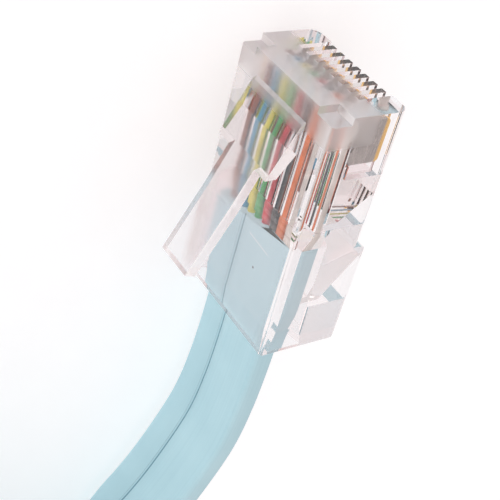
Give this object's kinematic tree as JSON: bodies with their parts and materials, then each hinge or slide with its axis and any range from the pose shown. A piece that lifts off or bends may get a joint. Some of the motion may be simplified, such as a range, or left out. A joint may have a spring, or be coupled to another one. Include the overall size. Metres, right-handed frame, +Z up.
{
  "type": "rj45 console cable",
  "caption": "Flat pale blue console cable with a clear modular plug on each end, wound into a tied coil beside the plugs.",
  "frame": {"origin": "under the middle of the near plug, on the surface that it lies on", "axes": "+Y towards the near plug's nose, -X towards its latch, +X towards its contacts, +Z up, towards its pin 1"},
  "size_m": [0.1129, 0.107, 0.0188],
  "materials": {
    "housing": "clear moulded polycarbonate",
    "contact": "gold plated",
    "jacket": "smooth satin vinyl jacket",
    "tie": "satin moulded band",
    "wire_white": "smooth insulation",
    "wire_orange": "smooth insulation",
    "wire_black": "smooth insulation",
    "wire_red": "smooth insulation",
    "wire_green": "smooth insulation",
    "wire_yellow": "smooth insulation",
    "wire_blue": "smooth insulation",
    "wire_brown": "smooth insulation"
  },
  "bodies": {
    "root": {"plug_housing": "housing", "contact_1": "contact", "contact_2": "contact", "contact_3": "contact", "contact_4": "contact", "contact_5": "contact", "contact_6": "contact", "contact_7": "contact", "contact_8": "contact", "wire_white": "wire_white", "wire_orange": "wire_orange", "wire_black": "wire_black", "wire_red": "wire_red", "wire_green": "wire_green", "wire_yellow": "wire_yellow", "wire_blue": "wire_blue", "wire_brown": "wire_brown", "far_plug_housing": "housing", "far_contact_1": "contact", "far_contact_2": "contact", "far_contact_3": "contact", "far_contact_4": "contact", "far_contact_5": "contact", "far_contact_6": "contact", "far_contact_7": "contact", "far_contact_8": "contact", "far_wire_white": "wire_white", "far_wire_orange": "wire_orange", "far_wire_black": "wire_black", "far_wire_red": "wire_red", "far_wire_green": "wire_green", "far_wire_yellow": "wire_yellow", "far_wire_blue": "wire_blue", "far_wire_brown": "wire_brown", "cable_lead": "jacket", "cable_coil": "jacket", "cable_tail": "jacket", "coil_tie_1": "tie", "coil_tie_2": "tie"}
  },
  "joints": []
}
